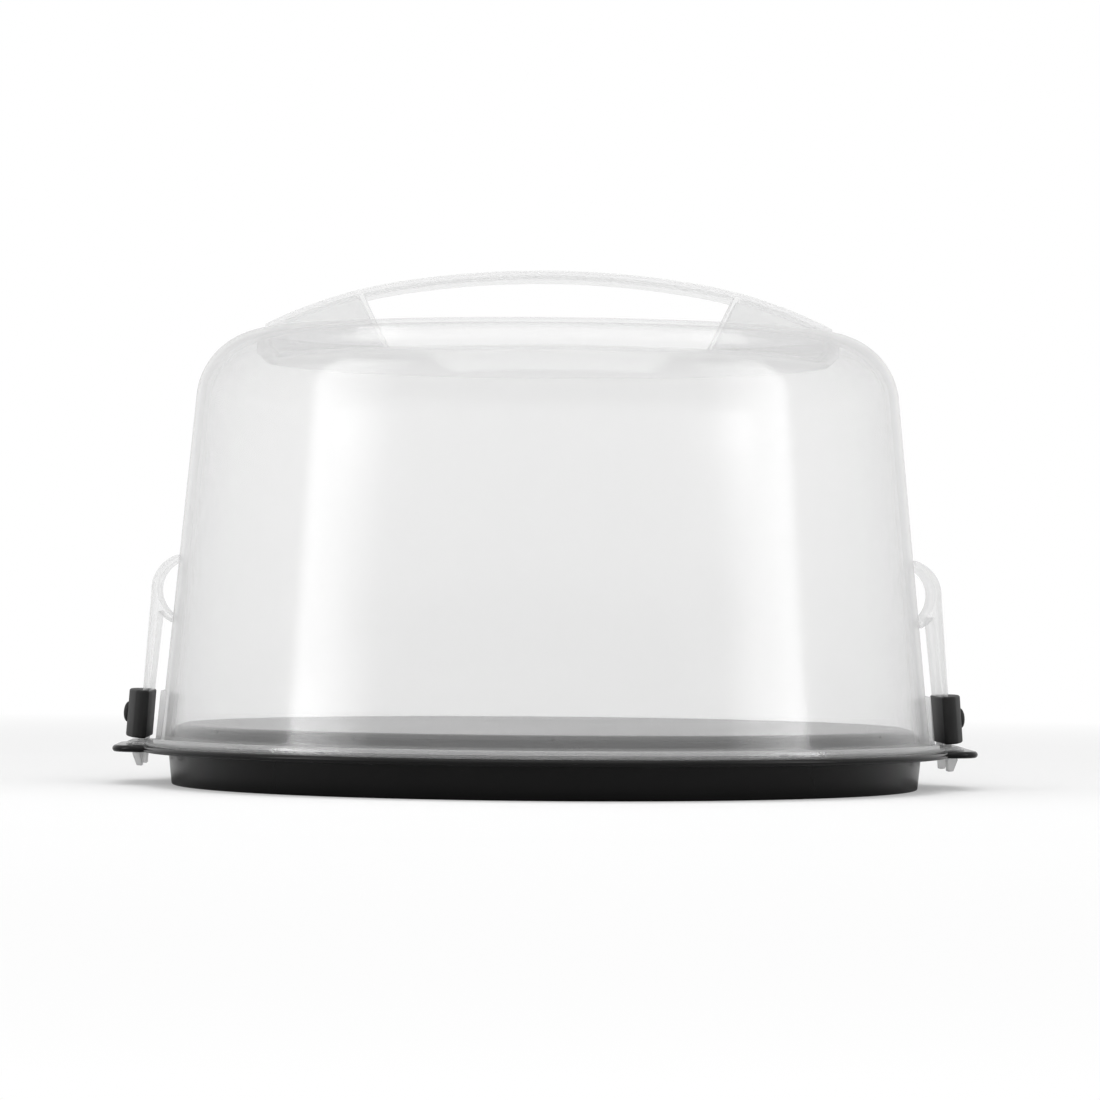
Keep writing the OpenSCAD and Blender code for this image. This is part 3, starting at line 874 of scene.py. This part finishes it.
class CAKE_OT_handle(bpy.types.Operator):
    """Build the arched handle with its hollow feet"""

    bl_idname = "cake.build_handle"
    bl_label = "Build Handle"

    def execute(self, context):
        scene = context.scene
        handle = scene.cake_handle
        dome = scene.cake_dome
        paint = clear_plastic(scene.cake_finish, "handle")
        half = handle.half
        under = self.seat(dome, half)
        over = [(x, self.top(handle, x)) for x in self.steps(-half, half, 72)]
        arch = prism("handle_arch", over + under[::-1], -handle.width / 2, handle.width / 2)
        low = floor_height(dome, half) - DIG
        window = self.leaning(handle, low, handle.lip)
        combine(arch, prism("window", window, -handle.width, handle.width), "DIFFERENCE")
        inner = handle.width / 2 - handle.wall
        channel = self.leaning(handle, low, handle.wall)
        combine(arch, prism("channel", channel, -inner, inner), "DIFFERENCE")
        for side in SIDES.values():
            combine(arch, prism("cell", self.cell(handle, low, side), -inner, inner), "DIFFERENCE")
        soften(arch, handle.edge)
        dress(smooth(arch), paint, "lid", "handle_clear", "handle")
        return {"FINISHED"}

    def steps(self, start, end, count):
        """Evenly spaced values from one to another."""
        return [start + (end - start) * i / count for i in range(count + 1)]

    def top(self, handle, x, drop=0.0):
        """Height of the arch's upper face, lowered by a drop along its radius."""
        turn = math.asin(handle.arch_turn / handle.arch)
        middle = handle.top - handle.arch
        if abs(x) <= handle.arch_turn:
            return middle + math.sqrt((handle.arch - drop) ** 2 - x ** 2)
        fall = handle.arch - handle.arch_end
        reach = abs(x) - fall * math.sin(turn)
        middle += fall * math.cos(turn)
        return middle + math.sqrt((handle.arch_end - drop) ** 2 - reach ** 2)

    def seat(self, dome, half):
        """The handle's lower outline, on the floor of the recess."""
        points = []
        for x in self.steps(-half, half, 24):
            rise = max(0.0, abs(x) - dome.recess_radius + dome.recess_bevel)
            points.append((x, floor_height(dome, abs(x)) + rise + SEAT_GAP))
        return points

    def leaning(self, handle, low, drop):
        """A region under the arch between the leaning inner walls of the feet."""
        lean = math.tan(handle.window_lean)
        edge = handle.window_foot
        reach = edge + (handle.top - low) * lean
        outline = []
        for x in self.steps(-reach, reach, 60):
            z = self.top(handle, x, drop) if abs(x) < handle.half else low
            if abs(x) < edge + (z - low - DIG) * lean:
                outline.append((x, z))
        x = edge
        for _ in range(12):
            x = edge + (self.top(handle, x, drop) - low - DIG) * lean
        tip = self.top(handle, x, drop)
        foot = edge - DIG * lean
        return outline + [(x, tip), (foot, low), (-foot, low), (-x, tip)]

    def cell(self, handle, low, side):
        """The hollow inside a foot, between its leaning inner wall and its end wall."""
        lean = math.tan(handle.window_lean)
        edge = handle.window_foot + handle.wall / math.cos(handle.window_lean)
        end = handle.half - handle.wall
        outline = []
        for x in self.steps(edge, end, 48):
            z = min(self.top(handle, x, handle.wall), low + DIG + (x - edge) / lean)
            outline.append((side * x, z))
        return outline + [(side * end, low), (side * edge, low)]


class CAKE_OT_clips(bpy.types.Operator):
    """Build the two clear clips: spring loop, strap and hooks in one bent strip"""

    bl_idname = "cake.build_clips"
    bl_label = "Build Clips"

    def execute(self, context):
        scene = context.scene
        clip = scene.cake_clip
        dome = scene.cake_dome
        paint = clear_plastic(scene.cake_finish, "clip")
        for name, side in SIDES.items():
            strap = self.strap(clip, dome, side, "clip_strap_" + name)
            for y in (-1, 1):
                combine(strap, self.hook(clip, side, y), "UNION")
            soften(strap, STRAP_EDGE)
            smooth(strap)
            strap.data.materials.clear()
            strap.data.materials.append(paint)
            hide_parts("spring_loop_" + name, "clip_arm_" + name)
            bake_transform(strap)
        return {"FINISHED"}

    def strap(self, clip, dome, side, name):
        """The strip from the wall round the loop and down to the hooks' roots."""
        centre = (LOOP_CENTRE.x, LOOP_CENTRE.z)
        inner = clip.loop - clip.loop_wall
        lean = math.degrees(clip.lean)
        face = wall_radius(dome, centre[1]) - centre[0] - LOOP_ROOT
        slope = math.tan(dome.draft)
        top = self.wall_angle(clip.loop, face, slope, 1)
        bottom = self.wall_angle(clip.loop, face, slope, -1)
        top_in = self.wall_angle(inner, face, slope, 1)
        bottom_in = self.wall_angle(inner, face, slope, -1)
        tail = -math.degrees(math.acos((clip.loop - clip.strap) / clip.loop)) - lean
        outline = arc(centre, clip.loop, top, -lean, 26)
        outline.append(clip_point(clip, 1, clip.loop, hook_root(clip)))
        outline.append(clip_point(clip, 1, clip.loop - clip.strap, hook_root(clip)))
        outline += arc(centre, clip.loop, tail - 2, bottom, 14)
        outline += arc(centre, inner, bottom_in, top_in, 40)
        outline = [(side * x, z) for x, z in outline]
        return prism(name, outline, -clip.width / 2, clip.width / 2)

    def wall_angle(self, radius, face, slope, sign):
        """Angle in degrees at which a circle about the loop's centre meets the dome's wall."""
        turn = math.acos(face / radius)
        for _ in range(8):
            turn = math.acos((face - slope * radius * math.sin(turn) * sign) / radius)
        return sign * math.degrees(turn)

    def hook(self, clip, side, y):
        """One hook with its barb, from inside the strap down to its tip."""
        inner = clip.loop - clip.strap
        out = clip.loop + clip.hook_out
        top = along_strap(clip, out, clip.hook_top)
        tip = along_strap(clip, clip.loop, clip.hook_tip)
        root = hook_root(clip) + HOOK_LAP
        corners = [
            (inner, root), (inner, tip), (clip.loop, tip), (out, top - clip.hook_lip), (out, top),
            (clip.loop, top), (clip.loop, root),
        ]
        outline = [clip_point(clip, side, u, w) for u, w in corners]
        middle = y * (clip.width - clip.hook_width) / 2
        return prism("hook", outline, middle - clip.hook_width / 2, middle + clip.hook_width / 2)


def clip_point(clip, side, u, w):
    """X and Z of a point that lies u out from a loop's centre and w along its strap."""
    cos, sin = math.cos(clip.lean), math.sin(clip.lean)
    return side * (LOOP_CENTRE.x + u * cos - w * sin), LOOP_CENTRE.z + u * sin + w * cos


def along_strap(clip, u, z):
    """Place along the strap at which a point u out from the loop's centre has a height."""
    return (z - LOOP_CENTRE.z - u * math.sin(clip.lean)) / math.cos(clip.lean)


def hook_root(clip):
    """Place along the strap at which it splits into its hooks, just inside the grip."""
    return along_strap(clip, clip.loop, clip.grip_low) + HOOK_RISE


def grip_back(clip):
    """How far out from the loop's centre the back of a grip lies."""
    return clip.loop - clip.strap - clip.grip_wall


class CAKE_OT_grips(bpy.types.Operator):
    """Build the two black finger grips with their thumb buttons"""

    bl_idname = "cake.build_grips"
    bl_label = "Build Grips"

    def execute(self, context):
        scene = context.scene
        clip = scene.cake_clip
        paint = black_plastic(
            "black_grip", scene.cake_finish.grip, gloss=0.2, rough=0.58, grain=60.0, depth=0.08
        )
        for name, side in SIDES.items():
            grip = self.body(clip, side, "finger_grip_" + name)
            combine(grip, self.button(clip, side), "UNION")
            combine(grip, self.sleeve(clip, side), "DIFFERENCE")
            dress(smooth(grip, 40), paint, "clip_" + name, "grip_black", "clip_grip_" + name)
        return {"FINISHED"}

    def plan(self, clip, inset):
        """The grip from above: flat behind and bowed in front, kept in by an inset."""
        inner = grip_back(clip)
        half = clip.grip_width / 2
        bow = (half ** 2 + clip.grip_bow ** 2) / (2 * clip.grip_bow)
        centre = inner + clip.grip - bow
        corner = GRIP_CORNER
        back = GRIP_BACK
        reach = math.asin((half - corner) / (bow - corner))
        middle_u = centre + (bow - corner) * math.cos(reach)
        middle_v = (bow - corner) * math.sin(reach)
        outline = []
        for i in range(25):
            turn = -reach + 2 * reach * i / 24
            u, v = (bow - inset) * math.cos(turn), (bow - inset) * math.sin(turn)
            outline.append((centre + u, v))
        end = math.degrees(reach)
        outline += arc((middle_u, middle_v), corner - inset, end, 90, 6)[1:]
        outline += arc((inner + back, half - back), back - inset, 90, 180, 4)
        outline += arc((inner + back, back - half), back - inset, 180, 270, 4)
        outline += arc((middle_u, -middle_v), corner - inset, -90, -end, 6)[:-1]
        return outline

    def body(self, clip, side, name):
        """The grip as layers along the strap, with soft upper and lower edges."""
        inner = grip_back(clip)
        low = along_strap(clip, inner, clip.grip_low)
        edge = clip.grip_edge
        layers = []
        high = low + clip.grip_height - edge
        rises = [(edge - x, low + edge + z) for x, z in arc((0, 0), edge, -90, 0, 4)]
        rises += [(edge - x, high + z) for x, z in arc((0, 0), edge, 0, 90, 4)]
        for inset, w in rises:
            layer = []
            for u, v in self.plan(clip, inset):
                x, z = clip_point(clip, side, u, w)
                layer.append((x, v, z))
            layers.append(layer)
        return stack(name, layers)

    def button(self, clip, side):
        """The round thumb button on the grip's face."""
        inner = grip_back(clip)
        face = inner + clip.grip
        middle = along_strap(clip, inner, clip.grip_low) + clip.grip_height / 2
        radius = clip.button / 2
        layers = []
        profile = [(radius, -BUTTON_ROOT), (radius, 0.0)]
        for i in range(1, 9):
            turn = math.pi / 2 * i / 9
            profile.append((radius * math.cos(turn), clip.button_out * math.sin(turn)))
        for reach, rise in profile:
            layer = []
            for i in range(32):
                turn = 2 * math.pi * i / 32
                x, z = clip_point(clip, side, face + rise, middle + reach * math.sin(turn))
                layer.append((x, reach * math.cos(turn), z))
            layers.append(layer)
        return stack("button", layers)

    def sleeve(self, clip, side):
        """The slot through the grip that its strap fills."""
        inner = clip.loop - clip.strap - SLEEVE_GAP
        outer = clip.loop + SLEEVE_GAP
        low = along_strap(clip, inner, clip.grip_low) - SLEEVE_PAST
        high = low + clip.grip_height + 2 * SLEEVE_PAST
        corners = [(inner, low), (outer, low), (outer, high), (inner, high)]
        outline = [clip_point(clip, side, u, w) for u, w in corners]
        half = clip.width / 2 + SLEEVE_GAP
        return prism("sleeve", outline, -half, half)


class CAKE_OT_stage(bpy.types.Operator):
    """Build the pale table, the soft lights and the camera"""

    bl_idname = "cake.build_stage"
    bl_label = "Build Stage"

    def execute(self, context):
        scene = context.scene
        stage = scene.cake_stage
        self.table()
        self.lights(scene)
        self.world(scene)
        camera = bpy.data.cameras.new("camera")
        camera.lens = stage.lens
        camera.sensor_width = 36
        camera.clip_start = 0.05
        camera.clip_end = 50
        view = bpy.data.objects.new("camera", camera)
        scene.collection.objects.link(view)
        level = math.pi / 2
        aim = Matrix.Rotation(-stage.yaw, 4, "Z") @ Matrix.Rotation(level + stage.pitch, 4, "X")
        aim = aim @ Matrix.Rotation(stage.roll, 4, "Z")
        stand = Matrix.Rotation(-stage.round, 4, "Z")
        stand = stand @ Matrix.Translation((0, -stage.distance, stage.eye))
        view.matrix_world = stand @ aim
        scene.camera = view
        scene.view_settings.view_transform = "Standard"
        scene.cycles.transparent_max_bounces = 32
        return {"FINISHED"}

    def table(self):
        """A wide pale table top, which shows white but keeps the object's shadow."""
        half = 4.0
        points = [(-half, -half, 0), (half, -half, 0), (half, half, 0), (-half, half, 0)]
        top = new_piece("table_top", mesh_from("table_top", points, [(0, 1, 2, 3)]))
        material, tree = fresh_material("pale_table")
        flat = new_node(tree, "ShaderNodeBsdfDiffuse", Color=(0.6, 0.6, 0.6, 1))
        glow = new_node(tree, "ShaderNodeEmission", Color=WHITE)
        white = new_node(tree, "ShaderNodeEmission", Color=WHITE, Strength=1.0)
        seen = seen_directly(tree)
        place = tree.nodes.new("ShaderNodeTexCoord")
        away = tree.nodes.new("ShaderNodeVectorMath")
        away.operation = "LENGTH"
        near, wide = TABLE_FADE
        fade = new_node(tree, "ShaderNodeMapRange", From_Min=near, From_Max=wide)
        ray = tree.nodes.new("ShaderNodeLightPath")
        far = math_node(tree, "MULTIPLY")
        level = math_node(tree, "MULTIPLY", TABLE_GLOW)
        add = tree.nodes.new("ShaderNodeAddShader")
        mix = tree.nodes.new("ShaderNodeMixShader")
        out = tree.nodes.new("ShaderNodeOutputMaterial")
        join_nodes(tree, [
            (place, "Object", away, 0), (away, "Value", fade, "Value"),
            (fade, "Result", far, 0), (seen, 0, far, 1),
            (ray, "Is Camera Ray", level, 0), (level, 0, glow, "Strength"),
            (flat, 0, add, 0), (glow, 0, add, 1),
            (far, 0, mix, "Fac"), (add, 0, mix, 1), (white, 0, mix, 2),
            (mix, 0, out, "Surface"),
        ])
        top.data.materials.append(material)

    def lights(self, scene):
        """A soft box and a low strip at each side, one box overhead and a front fill."""
        for name, azimuth, rise, away, wide, tall, level, fade in (
            ("left_box", -65, 22, 1.3, 0.62, 0.95, 2.7, (1.0, 0.1)),
            ("right_box", 65, 22, 1.3, 0.62, 0.95, 2.6, (0.1, 1.0)),
            ("left_strip", -65, -1, 1.28, 0.62, 0.145, 12.0, (1.0, 0.1)),
            ("right_strip", 65, -1, 1.28, 0.62, 0.145, 8.0, (0.1, 1.0)),
            ("overhead_box", 180, 84, 1.5, 1.8, 1.3, 1.1, None),
            ("front_fill", 0, 50, 1.6, 1.8, 1.0, 1.3, None),
        ):
            light = bpy.data.lights.new(name, "AREA")
            light.shape = "RECTANGLE"
            light.size = wide
            light.size_y = tall
            light.energy = level * math.pi * wide * tall
            if fade:
                self.feather(light, fade)
            lamp = bpy.data.objects.new(name, light)
            scene.collection.objects.link(lamp)
            turn, lift = math.radians(azimuth), math.radians(rise)
            place = LAMPS_AIM + away * Vector((
                math.cos(lift) * math.sin(turn), -math.cos(lift) * math.cos(turn), math.sin(lift)
            ))
            lamp.location = place
            lamp.rotation_mode = "QUATERNION"
            lamp.rotation_quaternion = (LAMPS_AIM - place).to_track_quat("-Z", "Y")
            lamp.visible_camera = False

    def feather(self, light, fade):
        """Lets a soft box fade from one upright edge to the other."""
        light.use_nodes = True
        tree = light.node_tree
        tree.nodes.clear()
        face = tree.nodes.new("ShaderNodeNewGeometry")
        split = tree.nodes.new("ShaderNodeSeparateXYZ")
        level = new_node(tree, "ShaderNodeMapRange", To_Min=fade[0], To_Max=fade[1])
        glow = new_node(tree, "ShaderNodeEmission", Color=WHITE)
        out = tree.nodes.new("ShaderNodeOutputLight")
        join_nodes(tree, [
            (face, "Parametric", split, 0), (split, "X", level, "Value"),
            (level, "Result", glow, "Strength"), (glow, 0, out, "Surface"),
        ])

    def world(self, scene):
        """A white backdrop behind the object, and a softer room for the light it gives."""
        world = bpy.data.worlds.new("studio")
        scene.world = world
        world.use_nodes = True
        tree = world.node_tree
        tree.nodes.clear()
        way = tree.nodes.new("ShaderNodeTexCoord")
        split = tree.nodes.new("ShaderNodeSeparateXYZ")
        behind = new_node(
            tree, "ShaderNodeMapRange", From_Min=GLOW_TURN[0], From_Max=GLOW_TURN[1],
            To_Min=ROOM_GLOW,
        )
        ray = tree.nodes.new("ShaderNodeLightPath")
        shine = math_node(tree, "MULTIPLY")
        seen = math_node(tree, "MAXIMUM")
        every = math_node(tree, "MAXIMUM")
        light = new_node(
            tree, "ShaderNodeMapRange", From_Min=ROOM_TURN[0], From_Max=ROOM_TURN[1],
            To_Min=ROOM_LIGHT[0], To_Max=ROOM_LIGHT[1],
        )
        soft = new_node(tree, "ShaderNodeBackground", Color=WHITE)
        white = new_node(tree, "ShaderNodeBackground", Color=WHITE, Strength=1.0)
        mix = tree.nodes.new("ShaderNodeMixShader")
        out = tree.nodes.new("ShaderNodeOutputWorld")
        join_nodes(tree, [
            (way, "Generated", split, 0), (split, "Y", behind, "Value"),
            (behind, "Result", shine, 0), (ray, "Is Glossy Ray", shine, 1),
            (ray, "Is Camera Ray", seen, 0), (ray, "Is Transmission Ray", seen, 1),
            (seen, 0, every, 0), (shine, 0, every, 1),
            (split, "Y", light, "Value"), (light, "Result", soft, "Strength"),
            (every, 0, mix, "Fac"), (soft, 0, mix, 1), (white, 0, mix, 2),
            (mix, 0, out, "Surface"),
        ])


class CAKE_PT_panel(bpy.types.Panel):
    """Lists the steps that build the carrier"""

    bl_idname = "CAKE_PT_panel"
    bl_label = "Cake Carrier"
    bl_space_type = "VIEW_3D"
    bl_region_type = "UI"
    bl_category = "Cake Carrier"

    def draw(self, context):
        for step in OPERATORS:
            self.layout.operator(step.bl_idname)


OPERATORS = (
    CAKE_OT_tray, CAKE_OT_dome, CAKE_OT_handle, CAKE_OT_clips, CAKE_OT_grips, CAKE_OT_stage,
)


def register():
    for kind in (*GROUPS.values(), *OPERATORS, CAKE_PT_panel):
        bpy.utils.register_class(kind)
    for name, kind in GROUPS.items():
        setattr(bpy.types.Scene, name, bpy.props.PointerProperty(type=kind))


def unregister():
    for name in GROUPS:
        delattr(bpy.types.Scene, name)
    for kind in reversed((*GROUPS.values(), *OPERATORS, CAKE_PT_panel)):
        bpy.utils.unregister_class(kind)


def main():
    """Registers the add-on and builds every piece."""
    register()
    bpy.ops.cake.build_tray()
    bpy.ops.cake.build_dome()
    bpy.ops.cake.build_handle()
    bpy.ops.cake.build_clips()
    bpy.ops.cake.build_grips()
    bpy.ops.cake.build_stage()
    bpy.context.view_layer.update()


if __name__ == "__main__":
    main()
